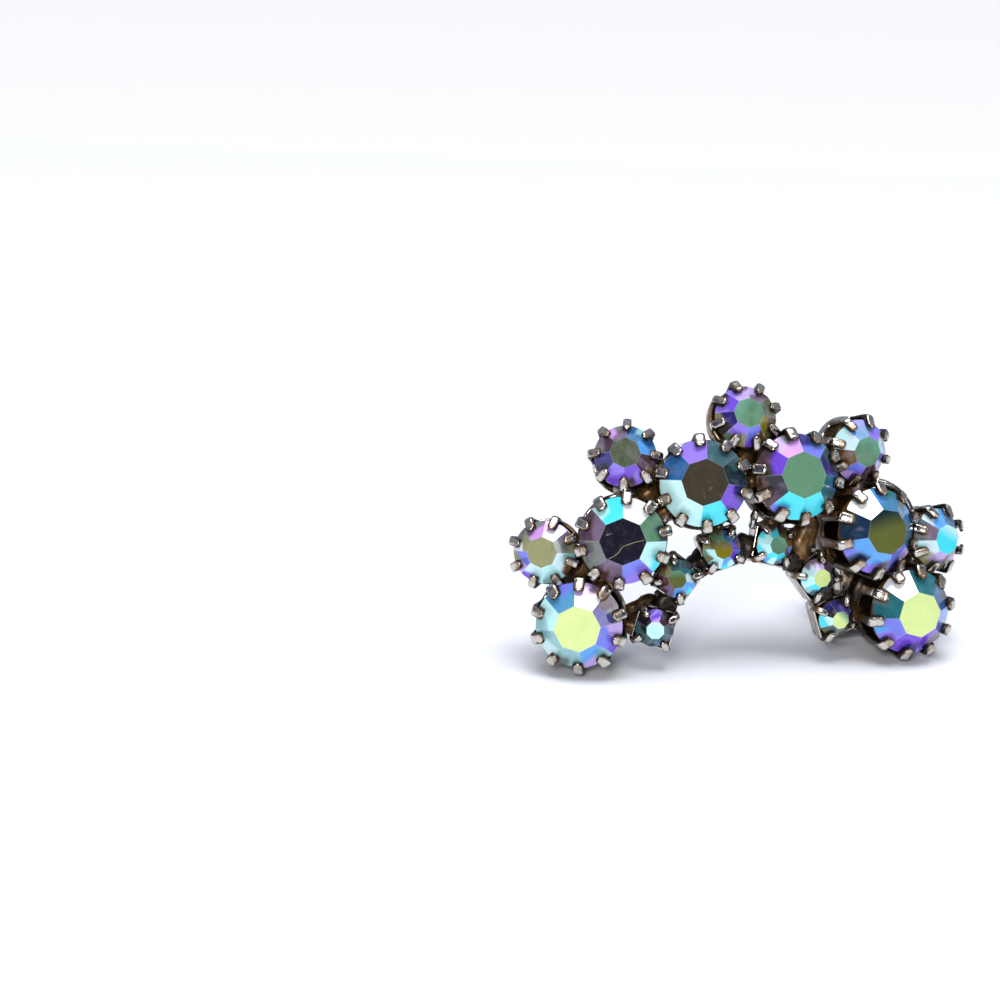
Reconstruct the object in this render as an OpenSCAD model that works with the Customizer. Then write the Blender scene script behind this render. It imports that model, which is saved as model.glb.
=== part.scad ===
/* [Arch] */
// Radius of the shallow dome that the stones follow
dome_r = 45; // [40:1:50]
// Height of the dome's crown above the centre of the arch
dome_crown = 2.4; // [0:0.1:6]
// How far the small outer stones sit behind the large ones
outer_setback = 0.6; // [0.4:0.1:1]
// How far the square inner settings sit behind the large ones
inner_setback = 1.5; // [1.2:0.1:1.8]
// Backward lean of the standing earring, in degrees
rest_lean = 10; // [9:0.5:11]

/* [Large settings] */
// Diameter of a large stone
large_d = 6.5; // [6.4:0.05:6.55]
// Table of a large stone, flat to flat
large_table = 3.25; // [2.8:0.05:3.6]
// Depth of a large cup behind the girdle
large_depth = 3.9; // [3.7:0.1:4.1]
// Height of the closed rim of a large cup
large_rim = 1.75; // [1.2:0.05:2]
// Number of prongs on a large cup
large_prongs = 10; // [8:1:12]
// Width of a large prong
large_prong_w = 0.8; // [0.6:0.02:0.9]

/* [Small round settings] */
// Diameter of a small outer stone
small_d = 4.7; // [4.5:0.05:4.8]
// Table of a small outer stone, flat to flat
small_table = 2.15; // [1.8:0.05:2.4]
// Depth of a small cup behind the girdle
small_depth = 2.75; // [2.6:0.05:3]
// Height of the closed rim of a small cup
small_rim = 1.05; // [0.8:0.05:1.3]
// Number of prongs on a small cup
small_prongs = 8; // [6:1:10]
// Width of a small prong
small_prong_w = 0.62; // [0.5:0.02:0.7]

/* [Square settings] */
// Diameter of a stone in a square setting
square_d = 2.9; // [2.8:0.05:2.95]
// Table of that stone, flat to flat
square_table = 1.3; // [1.1:0.05:1.5]
// Outer side of the square cup at its rim
square_side = 3.1; // [3.05:0.05:3.2]
// Outer side of the square cup at its foot
square_foot = 2.9; // [2.75:0.05:2.95]
// Depth of the square cup behind the girdle
square_depth = 1.85; // [1.75:0.05:2]
// Width of a corner prong
square_prong_w = 0.5; // [0.4:0.02:0.6]
// How far a corner prong reaches over the stone
square_reach = 0.4; // [0.3:0.02:0.45]

/* [Stone cut] */
// Slope of the crown facets, in degrees
crown_slope = 44; // [40:1:46]
// Slope of the pavilion facets, in degrees
pavilion_slope = 41; // [38:1:43]
// Half height of the girdle at the middle of a facet, as a share of the diameter
girdle_share = 0.015; // [0.01:0.001:0.02]
// Gap between a stone and the metal that holds it
stone_gap = 0.06; // [0.05:0.01:0.08]

/* [Metal] */
// Thickness of a round cup's wall and prongs
wall = 0.34; // [0.3:0.01:0.39]
// Thickness of a square cup's wall
square_wall = 0.2; // [0.18:0.01:0.24]
// How far a prong tip reaches over the stone
prong_reach = 0.58; // [0.5:0.02:0.7]
// How far a prong's knuckle stands out
prong_knob = 0.1; // [0.05:0.01:0.12]
// How much narrower a round cup is at its rim than at its prongs
cup_taper = 0.26; // [0.2:0.01:0.29]
// Radius of a soldered bridge
solder_r = 0.5; // [0.4:0.05:0.6]
// Radius of the solder that fills the gap between three round cups
plug_r = 0.9; // [0.7:0.05:1]

/* [Clip] */
// Width of the clip plate
plate_w = 4.6; // [4:0.1:5]
// Height of the clip plate
plate_h = 9.6; // [9:0.1:10]
// Thickness of the clip plate
plate_t = 0.8; // [0.7:0.1:1]
// Depth of the lobe gap behind the plate
lobe_gap = 4.6; // [4.4:0.1:5]
// Thickness of the clip lever
lever_t = 0.8; // [0.7:0.05:0.9]
// Width of the clip lever
lever_w = 3.4; // [3:0.1:3.6]
// Diameter of the round pad at the lever's end
pad_d = 5.4; // [5:0.1:6]
// Radius of the hinge pin
pin_r = 0.45; // [0.4:0.05:0.5]

/* [Hidden] */
FINE = 64;
FACETS = 8;

// angle from the top, distance from the centre, extra turn to the right, extra nod upward,
// turn of the prongs, turn of the facets
LARGE_ROWS = [
    [-80.5, 13.15, -1.5, 1, 0, 29],
    [-49, 13, -1, -1, -4, 22.5],
    [-16.5, 13.2, -6, -1, 5, 18],
    [15, 13.4, -1, 0, 6, 20],
    [49, 13.1, 1, -1.5, -4, 33],
    [80.5, 13.15, -9, 2, -10, 28],
];
OUTER_ROWS = [
    [-64, 17, -3, 3, -17, 22],
    [-32.5, 17.25, -2, 6, -2, 20],
    [-0.3, 17.3, -2, 3, 15, 15],
    [31.5, 17.05, 2.5, -12, 27, 24],
    [64.5, 17.2, 3, 0.5, 20, 20],
];
INNER_ROWS = [
    [-77, 7.3, -2, -1, -3, 0],
    [-45.5, 7.7, -5, 1, 9, 10],
    [-15.7, 7.8, 0, 2, 1, 20],
    [14.7, 7.95, 6, 2, 0, 15],
    [47.5, 7.55, 0, 0, -5, 10],
    [75.5, 7.37, -1, -1.5, 5, 5],
];

function across(row) = row[1] * sin(row[0]);
function upward(row) = row[1] * cos(row[0]);
function dome_depth(x, z) = (x * x + (z - dome_crown) * (z - dome_crown)) / (2 * dome_r);
function place(row, back) =
    [across(row), dome_depth(across(row), upward(row)) + back, upward(row)];
function turn(row) = asin(across(row) / dome_r) + row[2];
function nod(row) = asin((upward(row) - dome_crown) / dome_r) + row[3];
function facing(row) =
    [sin(turn(row)) * cos(nod(row)), -cos(turn(row)) * cos(nod(row)), sin(nod(row))];
function behind(row, back, depth) = place(row, back) - depth * facing(row);

function crown_top(d, table) = (d - table) / 2 * tan(crown_slope) + d * girdle_share;
function between(from, to, share) = from + share * (to - from);

prong_lift = 0.12;
room = stone_gap + wall - cup_taper - 0.04;
room_low = 0.4;
square_drop = 0.22;
bridge_depth = 1.1;
plug_low = 0.6;
plug_high = 1.1;

// plate, in its own frame: x to the right, y up, z to the front
plate_at = [10.7, 5.62, 5.26];
plate_turn = 10;
plate_nod = 1.5;
pin_y = -4.54;
pin_back = 1.9;
eye_r = 1.15;
ear_r = 1.05;
pin_gap = 0.12;
ear_t = 0.55;
ear_gap = 0.15;
heel_r = 2.4;
belly = plate_t + lobe_gap + lever_t / 2;
belly_top = 1.2;
top_r = 7;
top_sweep = 34;

// the foot of the standing earring and the middle of its box
rest_lift = 2.155;
rest_shift = [-0.11, -6.72];

// stands a shape made about the arch centre on its feet, leaning back
module standing() {
    translate([rest_shift[0], rest_shift[1], rest_lift])
        rotate([-rest_lean, 0, 0])
            children();
}

// puts a shape made with its face along +z where the row says
module seated(row, back) {
    translate(place(row, back))
        rotate([-nod(row), 0, turn(row)])
            rotate([90, 0, 0])
                children();
}

// removes what lies outside one flat facet
module facet(reach, level, slope, size) {
    translate([reach, 0, level])
        rotate([0, slope, 0])
            translate([-size, -size, 0])
                cube([2 * size, 2 * size, size]);
}

// an eight-sided chaton: flat table, crown, thin girdle and pointed pavilion
module chaton(d, table, roll) {
    belt = d * girdle_share;
    top = crown_top(d, table);
    foot = d / 2 * tan(pavilion_slope) + belt;
    rotate([0, 0, roll])
        difference() {
            translate([0, 0, -foot])
                cylinder(h = foot + top, d = d, $fn = FINE);
            for (i = [0:FACETS - 1])
                rotate([0, 0, i * 360 / FACETS]) {
                    facet(table / 2, top, crown_slope, d);
                    mirror([0, 0, 1])
                        facet(d / 2, belt, pavilion_slope, d);
                }
        }
}

// side profile of a round cup from its axis, with the prongs' fold at the top
function cup_side(d, table, depth, rim) =
    let (
        inner = d / 2 + stone_gap,
        closed = inner - cup_taper,
        knuckle = inner + wall + prong_knob,
        drop = tan(crown_slope) * cos(180 / FACETS),
        fold = crown_top(d, table) + prong_lift - (inner - table / 2 / cos(180 / FACETS)) * drop,
        tip = inner - prong_reach,
        flare = rim + 0.1 - depth
    )
    [
        [0, -depth],
        [closed - wall, -depth],
        [closed + wall, -depth + 0.4 * rim],
        [closed + wall, flare],
        [knuckle, fold - 0.5 * wall],
        [knuckle, fold],
        [inner + 0.6 * wall, fold + 0.8 * wall],
        [tip + 0.15, fold + prong_reach * drop + 0.85 * wall],
        [tip, fold + prong_reach * drop + 0.6 * wall],
        [tip, fold + prong_reach * drop],
        [inner, fold],
        [inner, -wall],
        [closed, flare],
        [closed, -depth + 0.6 * rim],
        [closed - 1.5 * wall, -depth + wall],
        [0, -depth + wall],
    ];

// a round cup: one turned profile, cut through between its prongs
module round_cup(d, table, depth, rim, count, width, roll) {
    apex = width / 2 / sin(180 / count);
    rotate([0, 0, roll])
        difference() {
            rotate_extrude($fn = FINE)
                polygon(cup_side(d, table, depth, rim));
            for (i = [0:count - 1])
                rotate([0, 0, 90 + (i + 0.5) * 360 / count])
                    translate([apex, 0, -depth + rim])
                        linear_extrude(height = depth + d)
                            polygon([
                                [0, 0],
                                [d * cos(180 / count), -d * sin(180 / count)],
                                [d * cos(180 / count), d * sin(180 / count)],
                            ]);
        }
}

// a tapered square cup with a folded prong at each corner
module square_cup(roll) {
    belt = square_d * girdle_share;
    hold = square_d / 2 + stone_gap;
    tip = hold - square_reach;
    drop = tan(crown_slope) * cos(180 / FACETS);
    fold = crown_top(square_d, square_table) + prong_lift
        - (hold - square_table / 2 / cos(180 / FACETS)) * drop;
    rise = fold + square_reach * drop;
    corner = square_side / sqrt(2) - 0.12;
    rotate([0, 0, roll]) {
        difference() {
            square_taper(square_foot, square_side, -square_depth, -square_drop);
            square_taper(square_foot - 2 * square_wall, square_side - 2 * square_wall,
                -square_depth + square_wall, 0.01 - square_drop);
        }
        for (i = [0:3])
            rotate([0, 0, 45 + 90 * i])
                translate([0, square_prong_w / 2, 0])
                    rotate([90, 0, 0])
                        linear_extrude(height = square_prong_w)
                            polygon([
                                [corner - 0.45, -0.7],
                                [hold + 0.05, -belt],
                                [hold + 0.05, fold],
                                [tip, rise],
                                [tip + 0.02, rise + 0.18],
                                [tip + 0.25, rise + 0.2],
                                [corner - 0.05, fold],
                                [corner, -square_drop],
                                [corner - 0.15, -0.7],
                            ]);
    }
}

// a square block that widens from its foot to its rim
module square_taper(low_side, high_side, low, high) {
    side = [
        [-low_side / 2, low],
        [low_side / 2, low],
        [high_side / 2, high],
        [-high_side / 2, high],
    ];
    intersection() {
        rotate([90, 0, 0])
            translate([0, 0, -high_side])
                linear_extrude(height = 2 * high_side)
                    polygon(side);
        rotate([90, 0, 90])
            translate([0, 0, -high_side])
                linear_extrude(height = 2 * high_side)
                    polygon(side);
    }
}

// a soldered rod between two points
module bridge(from, to) {
    span = to - from;
    length = norm(span);
    translate(from)
        rotate([0, acos(span[2] / length), atan2(span[1], span[0])])
            cylinder(h = length, r = solder_r, $fn = 24);
}

// large cups, cleared where a neighbour's stone reaches in between their prongs
module large_cups() {
    difference() {
        for (row = LARGE_ROWS)
            seated(row, 0)
                round_cup(large_d, large_table, large_depth, large_rim, large_prongs,
                    large_prong_w, row[4]);
        for (row = OUTER_ROWS)
            seated(row, outer_setback)
                translate([0, 0, -room_low])
                    cylinder(h = small_depth, d = small_d + 2 * room, $fn = FINE);
    }
}

// small round cups, cleared where a large stone reaches in between their prongs
module small_cups() {
    difference() {
        for (row = OUTER_ROWS)
            seated(row, outer_setback)
                round_cup(small_d, small_table, small_depth, small_rim, small_prongs,
                    small_prong_w, row[4]);
        for (row = LARGE_ROWS)
            seated(row, 0)
                translate([0, 0, -room_low])
                    cylinder(h = large_depth, d = large_d + 2 * room, $fn = FINE);
    }
}

module settings() {
    large_cups();
    small_cups();
    for (row = INNER_ROWS)
        seated(row, inner_setback)
            square_cup(-row[0] + row[4]);
}

// a rod of solder along a part of the way between two settings
module joined(from, to, low, high) {
    bridge(between(from, to, low), between(from, to, high));
}

module bridges() {
    large = [for (row = LARGE_ROWS) behind(row, 0, large_depth - large_rim / 2)];
    small = [for (row = OUTER_ROWS) behind(row, outer_setback, small_depth - small_rim / 2)];
    square = [for (row = INNER_ROWS) behind(row, inner_setback, bridge_depth)];
    for (i = [0:5])
        joined(large[i], square[i], 0.6, 0.82);
    for (i = [0:4]) {
        joined(square[i], square[i + 1], 0.35, 0.65);
        joined(large[i], large[i + 1], 0.42, 0.58);
        joined(large[i], small[i], 0.5, 0.66);
        joined(large[i + 1], small[i], 0.5, 0.66);
        plug((large[i] + large[i + 1] + small[i]) / 3);
    }
    // a strap that shows in the gap on the right of the arch
    joined(large[3], square[4], 0.35, 0.8);
}

// solder round the middle of three cups
module plug(middle) {
    translate(middle + [0, plug_low, 0])
        rotate([90, 0, 0])
            cylinder(h = plug_low + plug_high, r = plug_r, $fn = 32);
}

// puts a shape in the clip plate's own frame
module on_plate() {
    translate(plate_at)
        rotate([-plate_nod, 0, plate_turn])
            rotate([90, 0, 0])
                children();
}

// plate soldered behind two large cups, with two ears and the hinge pin
module clip_plate() {
    on_plate() {
        translate([-plate_w / 2, -plate_h / 2, -plate_t])
            cube([plate_w, plate_h, plate_t + 0.1]);
        for (side = [-1, 1])
            translate([side * (lever_w / 2 + ear_gap + ear_t / 2), 0, 0])
                ear();
        translate([-lever_w / 2 - ear_gap - ear_t, pin_y, -plate_t - pin_back])
            rotate([0, 90, 0])
                cylinder(h = lever_w + 2 * ear_gap + 2 * ear_t, r = pin_r, $fn = 32);
    }
}

module ear() {
    rotate([0, 90, 0])
        translate([0, 0, -ear_t / 2])
            linear_extrude(height = ear_t)
                polygon(concat(
                    [[plate_t / 2, pin_y + ear_r], [plate_t / 2, pin_y - ear_r]],
                    arc([plate_t + pin_back, pin_y], ear_r, -90, 90, 12)
                ));
}

function arc(centre, r, from, to, steps) =
    [for (i = [0:steps])
        centre + r * [cos(from + (to - from) * i / steps), sin(from + (to - from) * i / steps)]];

// side outline of the lever as distance behind the plate's face and height
function lever_side(offset) = concat(
    arc([belly - heel_r, pin_y - eye_r + lever_t / 2 + heel_r], heel_r + offset, -90, 0, 8),
    arc([belly - top_r, belly_top], top_r + offset, 0, top_sweep, 6)
);

module setting_frame() {
    color("#a89f92")
        standing()
            union() {
                settings();
                bridges();
                clip_plate();
            }
}

module ear_clip() {
    eye = [plate_t + pin_back, pin_y];
    inner = lever_side(-lever_t / 2);
    outer = lever_side(lever_t / 2);
    count = len(outer);
    pad_at = [belly - top_r + top_r * cos(top_sweep), belly_top + top_r * sin(top_sweep)];
    color("#b8b0a2")
        standing()
            on_plate()
                rotate([0, 90, 0])
                    difference() {
                        union() {
                            translate([0, 0, -lever_w / 2])
                                linear_extrude(height = lever_w)
                                    polygon(concat(outer, [for (i = [1:count]) inner[count - i]]));
                            translate([eye[0], eye[1], -lever_w / 2])
                                cylinder(h = lever_w, r = eye_r, $fn = 48);
                            translate([pad_at[0], pad_at[1], 0])
                                rotate([0, 0, top_sweep])
                                    rotate([0, 90, 0])
                                        translate([0, 0, -lever_t / 2])
                                            cylinder(h = lever_t, d = pad_d, $fn = 48);
                        }
                        translate([eye[0], eye[1], -lever_w])
                            cylinder(h = 2 * lever_w, r = pin_r + pin_gap, $fn = 48);
                    }
}

module large_stone(i) {
    row = LARGE_ROWS[i - 1];
    color("#7fb9b4")
        standing()
            seated(row, 0)
                chaton(large_d, large_table, row[5]);
}

module outer_stone(i) {
    row = OUTER_ROWS[i - 1];
    color("#8f7fc4")
        standing()
            seated(row, outer_setback)
                chaton(small_d, small_table, row[5]);
}

module inner_stone(i) {
    row = INNER_ROWS[i - 1];
    color("#9ab26a")
        standing()
            seated(row, inner_setback)
                chaton(square_d, square_table, row[5]);
}

setting_frame();
ear_clip();
for (i = [1:6])
    large_stone(i);
for (i = [1:5])
    outer_stone(i);
for (i = [1:6])
    inner_stone(i);
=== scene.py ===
from collections import namedtuple
from math import asin, atan, atan2, copysign, cos, degrees, exp, hypot, pi, radians, sin, sqrt, tan
from types import SimpleNamespace as Measures

import bpy
from mathutils import Matrix, Vector, noise


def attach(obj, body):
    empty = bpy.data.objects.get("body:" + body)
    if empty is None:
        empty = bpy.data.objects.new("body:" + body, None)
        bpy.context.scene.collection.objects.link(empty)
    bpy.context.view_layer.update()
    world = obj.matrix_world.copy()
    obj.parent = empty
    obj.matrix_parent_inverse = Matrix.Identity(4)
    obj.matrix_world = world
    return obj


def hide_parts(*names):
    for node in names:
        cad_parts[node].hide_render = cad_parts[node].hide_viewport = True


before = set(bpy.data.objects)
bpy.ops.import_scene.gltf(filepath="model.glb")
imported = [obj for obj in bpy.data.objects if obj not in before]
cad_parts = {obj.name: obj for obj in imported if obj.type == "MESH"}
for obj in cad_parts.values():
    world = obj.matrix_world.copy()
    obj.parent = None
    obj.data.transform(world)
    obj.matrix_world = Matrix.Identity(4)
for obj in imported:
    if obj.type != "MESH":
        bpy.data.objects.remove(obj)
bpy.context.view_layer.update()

MM = 0.001


def table_of(columns, *lines):
    """A short table whose columns go by name."""
    line_of = namedtuple("Line", columns)
    return [line_of(*line) for line in lines]


# Arch, stones and cups, in millimetres and degrees, as in the part's source
DOME_R = 45
DOME_CROWN = 2.4
REST_LEAN = 10
REST_LIFT = 2.155
REST_SHIFT = (-0.11, -6.72)
FACETS = 8
HALF_FACET = pi / FACETS
CROWN_SLOPE = radians(44)
PAVILION_SLOPE = radians(41)
GIRDLE_SHARE = 0.015
STONE_GAP = 0.06
WALL = 0.34
PRONG_REACH = 0.58
PRONG_KNOB = 0.1
CUP_TAPER = 0.26

# A setting of each kind: width of the girdle and of the table, place behind the arch's face, depth of
# the cup, height of its band or the measures of the square one, number and width of the prongs, and
# how cloudy the facets (mottle) and the table (haze) are
LARGE = Measures(
    girdle=6.5, table=3.25, back=0, depth=3.9, rim=1.75, prongs=10, width=0.84, mottle=0.32, haze=0.04)
OUTER = Measures(
    girdle=4.7, table=2.15, back=0.6, depth=2.75, rim=1.05, prongs=8, width=0.68, mottle=0.65, haze=0.36)
INNER = Measures(
    girdle=2.9, table=1.3, back=1.5, depth=1.85, side=3.1, foot=2.9, drop=0.22, wall=0.2, reach=0.4,
    width=0.54, mottle=0.5, haze=0.25)

# Clip, in the plate's own frame: w, h, t and r are width, height, thickness and radius
PLATE = Measures(w=4.6, h=9.6, t=0.8, corner=0.7, at=(10.7, 5.62, 5.26), turn=10, nod=1.5)
PIN = Measures(
    y=-4.54, back=1.9, r=0.45, ear_r=1.05, ear_t=0.55, ear_gap=0.15, eye_r=1.15, eye_w=3.38,
    eye_play=0.12)
LEVER = Measures(w=3.4, t=0.8, gap=4.6, heel_r=2.4, belly_top=1.2, top_r=7, sweep=34, pad=5.4)

# Place and pose of each setting, from left to right: angle from the arch's top, distance from its
# centre, extra turn to the right, extra nod upward, turn of the prongs and turn of the facets
ROW = "angle distance turn nod prong_turn facet_turn"
LARGE_ROWS = table_of(
    ROW,
    (-80.5, 13.15, -1.5, 1, 0, 29),
    (-49, 13, -1, -1, -4, 22.5),
    (-16.5, 13.2, -6, -1, 5, 18),
    (15, 13.4, -1, 0, 6, 20),
    (49, 13.1, 1, -1.5, -4, 33),
    (80.5, 13.15, -9, 2, -10, 28),
)
OUTER_ROWS = table_of(
    ROW,
    (-64, 17, -3, 3, -17, 22),
    (-32.5, 17.25, -2, 6, -2, 20),
    (-0.3, 17.3, -2, 3, 15, 15),
    (31.5, 17.05, 2.5, -12, 27, 15),
    (64.5, 17.2, 3, 0.5, 20, 20),
)
INNER_ROWS = table_of(
    ROW,
    (-77, 7.3, -2, -1, -3, 0),
    (-45.5, 7.7, -5, 1, 9, 10),
    (-15.7, 7.8, 0, 2, 1, 20),
    (14.7, 7.95, 6, 2, 0, 15),
    (47.5, 7.55, 0, 0, -5, 10),
    (75.5, 7.37, -1, -1.5, 5, 5),
)

# Colours of the coated glass as seen from the camera: the coating's own colours with painted reflections,
# and white facets as painted highlights
PALETTE = {
    "white": (0.97, 0.985, 1.0), "ice": (0.84, 0.95, 0.98), "aqua": (0.78, 0.99, 0.99),
    "frost": (0.82, 1.0, 1.0), "cyan": (0.3, 0.92, 0.99), "mist": (0.6, 0.8, 0.82),
    "sky": (0.36, 0.66, 0.97), "steel": (0.27, 0.52, 0.7), "lake": (0.34, 0.62, 0.8),
    "teal": (0.17, 0.46, 0.5), "slate": (0.25, 0.4, 0.43), "ink_teal": (0.08, 0.19, 0.2),
    "navy": (0.08, 0.2, 0.32), "blue": (0.14, 0.38, 0.62), "indigo": (0.22, 0.2, 0.52),
    "ink": (0.11, 0.1, 0.16), "violet": (0.47, 0.3, 0.87), "lavender": (0.61, 0.5, 0.96),
    "periwinkle": (0.48, 0.52, 0.95), "lilac": (0.8, 0.7, 0.95), "pink": (0.85, 0.62, 0.93),
    "mauve": (0.5, 0.42, 0.52), "plum": (0.33, 0.22, 0.28), "brown": (0.34, 0.22, 0.15),
    "rust": (0.42, 0.24, 0.19), "bronze": (0.42, 0.29, 0.13), "smoke": (0.47, 0.5, 0.48),
    "sage": (0.4, 0.58, 0.45), "jade": (0.44, 0.66, 0.57), "olive": (0.4, 0.42, 0.2),
    "moss": (0.34, 0.38, 0.29), "gold": (0.55, 0.5, 0.08), "khaki": (0.62, 0.62, 0.44),
    "taupe": (0.26, 0.23, 0.18), "lime": (0.86, 0.94, 0.6),
}

# One chart a stone: the table's colour, a second one at its edge, that edge's direction, and the facets
# from the right round to the left, with colours at the table and at both sides of the rim, as each facet
# shows them from the camera, with painted reflections and highlights
LARGE_CHARTS = [
    ("lime", "lime", 0,
     "indigo smoke plum, white mauve lilac, lake periwinkle lake, aqua aqua mist, "
     "mist aqua ice, mist smoke mist, sky lilac mist, periwinkle violet lilac"),
    ("ink", "ink", 230,
     "sage slate sage, white white white, cyan cyan aqua, mauve plum plum, "
     "smoke mauve smoke, mauve brown mauve, periwinkle lavender lavender, aqua cyan aqua"),
    ("taupe", "taupe", 0,
     "ink_teal ink_teal slate, slate slate slate, lavender lavender lavender, blue blue blue, "
     "frost frost frost, frost frost aqua, cyan cyan cyan, violet violet indigo"),
    ("sage", "sage", 0,
     "indigo navy slate, periwinkle steel indigo, pink smoke lilac, violet plum taupe, "
     "ink brown plum, cyan periwinkle cyan, cyan cyan cyan, teal slate steel"),
    ("olive", "ink_teal", 100,
     "steel sky slate, steel teal sky, white ice white, navy ink_teal navy, "
     "sky periwinkle navy, sky lavender mauve, periwinkle indigo lilac, steel smoke steel"),
    ("lime", "lime", 0,
     "blue navy steel, teal teal teal, white white white, teal smoke teal, "
     "periwinkle sky lavender, violet violet indigo, violet lavender mauve, periwinkle mist sky"),
]
OUTER_CHARTS = [
    ("khaki", "khaki", 90,
     "smoke khaki mauve, white lilac pink, pink smoke mauve, khaki smoke white, "
     "periwinkle khaki lilac, ice violet aqua, aqua mist aqua, ice bronze mist"),
    ("moss", "moss", 60,
     "sky steel blue, steel mist blue, mauve smoke pink, plum mauve smoke, "
     "indigo indigo ink, lavender violet violet, violet plum lavender, plum bronze brown"),
    ("sage", "jade", 140,
     "smoke khaki olive, mauve brown lilac, lilac mauve lavender, violet taupe lavender, "
     "indigo khaki taupe, lavender sage khaki, periwinkle violet bronze, gold olive bronze"),
    ("sage", "jade", 60,
     "mist periwinkle ice, lavender periwinkle steel, steel periwinkle sky, ice aqua ice, "
     "bronze brown bronze, periwinkle lilac lavender, plum mauve brown, periwinkle mauve lilac"),
    ("cyan", "aqua", 60,
     "mauve steel mist, steel mauve sky, sky mist ice, mauve slate smoke, "
     "ice aqua khaki, lilac khaki mauve, mauve khaki lilac, lilac mist lilac"),
]
INNER_CHARTS = [
    ("aqua", "ice", 90,
     "slate navy plum, plum ink ink, violet lavender violet, ink plum ink, "
     "ink_teal slate teal, slate ink_teal slate, slate navy steel, slate plum slate"),
    ("olive", "sage", 90,
     "ice slate teal, teal ink_teal slate, slate teal sage, khaki rust olive, "
     "rust plum brown, mauve plum mauve, sky sky mauve, sky cyan sky"),
    ("gold", "olive", 90,
     "violet mauve indigo, steel white blue, sage olive sage, olive sage khaki, "
     "aqua sage olive, aqua mist aqua, sky cyan aqua, violet indigo periwinkle"),
    ("sage", "jade", 60,
     "bronze olive bronze, olive bronze plum, cyan plum aqua, aqua cyan aqua, "
     "aqua cyan aqua, cyan sky aqua, cyan mauve cyan, mauve plum sky"),
    ("lime", "lime", 0,
     "ink_teal plum ink, plum mauve plum, lilac plum mauve, ice mauve aqua, "
     "aqua cyan aqua, cyan mist slate, ink_teal slate taupe, ink taupe ink"),
    ("lime", "sage", 45,
     "ink taupe ink, indigo ink ink, indigo ink indigo, ink indigo ink, "
     "aqua cyan cyan, slate olive taupe, smoke sage taupe, taupe ink ink"),
]

# Crack, scuff and scratch on the tables, in each stone's own millimetres
MARKS = table_of(
    "stone half_width colour path",
    ("large_chaton_2", 0.022, "khaki",
     [(-1, -1.25), (-0.65, -1.08), (-0.33, -0.84), (-0.12, -0.5), (0.04, -0.33), (0.42, -0.2),
      (0.9, -0.02), (1.54, 0.12)]),
    ("large_chaton_2", 0.05, "smoke", [(-1.22, 0.46), (-1.1, 0.56), (-0.98, 0.5)]),
    ("large_chaton_2", 0.04, "moss", [(-0.94, 0.64), (-0.78, 0.58)]),
    ("large_chaton_3", 0.02, "smoke", [(0.33, -0.62), (0.44, -0.42), (0.54, -0.33)]),
)
MARK_HALF_DEPTH = 0.004

# Stretches of a round cup's wall that stand up to the girdle: kind and number of the cup, first and
# last angle from its right, distance outside the wall, rub
COLLARS = table_of(
    "kind number first last outside rub",
    ("large", 5, 18, 84, 0.26, 1.3),
    ("outer", 3, 145, 222, 0, 0.3),
)

# Solder between neighbouring cups: depth behind the first and the second girdle, the shares of the way
# between which the lump lies, its radius and its rub
LARGE_TO_INNER, INNER_TO_INNER, LARGE_TO_LARGE, LARGE_TO_OUTER = table_of(
    "first_depth second_depth begin end radius rub",
    (3.0, 1.1, 0.6, 0.82, 0.85, 0.15),
    (0.9, 0.9, 0.4, 0.6, 0.95, -0.4),
    (1.8, 1.8, 0.46, 0.54, 0.9, 0.15),
    (1.7, 1.2, 0.5, 0.64, 0.8, 0.3),
)

# Plug between two large cups and an outer one
PLUG = Measures(large_depth=2.0, outer_depth=1.4, length=1.3, radius=1.05, rub=0.1)

# A bow and strips of solder that show between a large cup and a square one: number of each cup and
# the place beside its axis, radius, rub
STRIPS = table_of(
    "large from_aside inner to_aside radius rub",
    (1, (3.5, 0.75), 1, (-0.15, 2.1), 0.5, -0.12),
    (4, (-2.6, -2.4), 4, (-1.35, 1.5), 0.33, 0.6),
    (4, (1.65, -3.2), 5, (-1.25, 1.5), 0.92, 0.1),
)
STRIP_DEPTHS = Measures(large=2.0, inner=0.9)


# Numbers and places

def linear(colour):
    """A colour as seen, turned into a linear one."""
    return [c / 12.92 if c <= 0.04045 else ((c + 0.055) / 1.055) ** 2.4 for c in colour]


def tone_of(name):
    return linear(PALETTE[name])


def blend(a, b, share):
    return [x + (y - x) * share for x, y in zip(a, b)]


def smooth(x, low, high):
    t = min(1, max(0, (x - low) / (high - low)))
    return t * t * (3 - 2 * t)


def spoke(angle):
    """A direction out from an axis, and the one across it."""
    out = Vector((cos(angle), sin(angle), 0))
    return out, Vector((-out.y, out.x, 0))


def polar(radius, angle):
    return radius * cos(angle), radius * sin(angle)


def arc(centre, radius, start, end, steps):
    angles = [radians(start + (end - start) * i / steps) for i in range(steps + 1)]
    return [(centre[0] + radius * cos(a), centre[1] + radius * sin(a)) for a in angles]


def circle(centre, radius, count):
    return arc(centre, radius, 0, 360 - 360 / count, count - 1)


def turned(angle, axis):
    return Matrix.Rotation(radians(angle), 4, axis)


def standing():
    """From the upright arch to the one that stands leaning back."""
    return Matrix.Translation(Vector((*REST_SHIFT, REST_LIFT)) * MM) @ turned(-REST_LEAN, "X")


def arch_seat(row, size):
    """Where a setting sits in the upright arch: its face looks along its own +Z."""
    across, upward = row.distance * sin(radians(row.angle)), row.distance * cos(radians(row.angle))
    dome = (across ** 2 + (upward - DOME_CROWN) ** 2) / (2 * DOME_R)
    place = Vector((across, dome + size.back, upward))
    turn = degrees(asin(place.x / DOME_R)) + row.turn
    nod = degrees(asin((place.z - DOME_CROWN) / DOME_R)) + row.nod
    return Matrix.Translation(place * MM) @ turned(turn, "Z") @ turned(-nod, "X") @ turned(90, "X")


def seat(row, size):
    return standing() @ arch_seat(row, size)


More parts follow.
